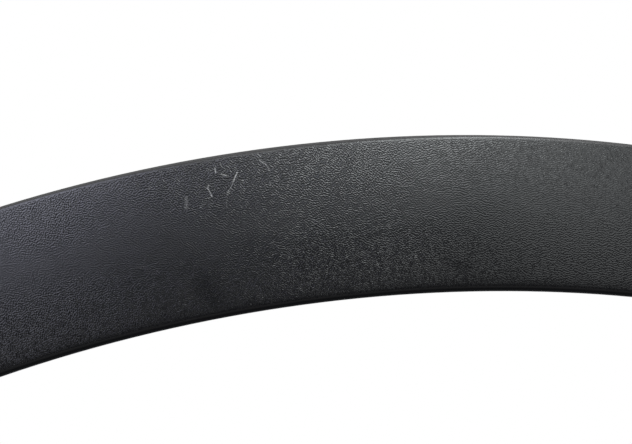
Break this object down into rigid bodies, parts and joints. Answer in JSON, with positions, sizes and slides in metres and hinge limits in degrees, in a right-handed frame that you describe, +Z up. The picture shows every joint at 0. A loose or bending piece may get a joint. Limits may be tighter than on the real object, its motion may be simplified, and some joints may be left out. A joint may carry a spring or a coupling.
{
  "type": "wheel arch trim",
  "caption": "Moulded plastic wheel arch trim: a crowned, grained band round the top half of a wheel opening, with a rolled lip, rear clip towers and push-in clips.",
  "frame": {"origin": "on the wheel's axis, in the plane of the body panel, midway between the two end screw holes", "axes": "+X along the car, +Z up, -Y away from the car, so the grained face looks along -Y"},
  "size_m": [0.8592, 0.0369, 0.4419],
  "materials": {
    "trim": "matte",
    "clip": "satin"
  },
  "bodies": {
    "root": {"arch_moulding": "trim", "retaining_clips": "clip"}
  },
  "joints": []
}
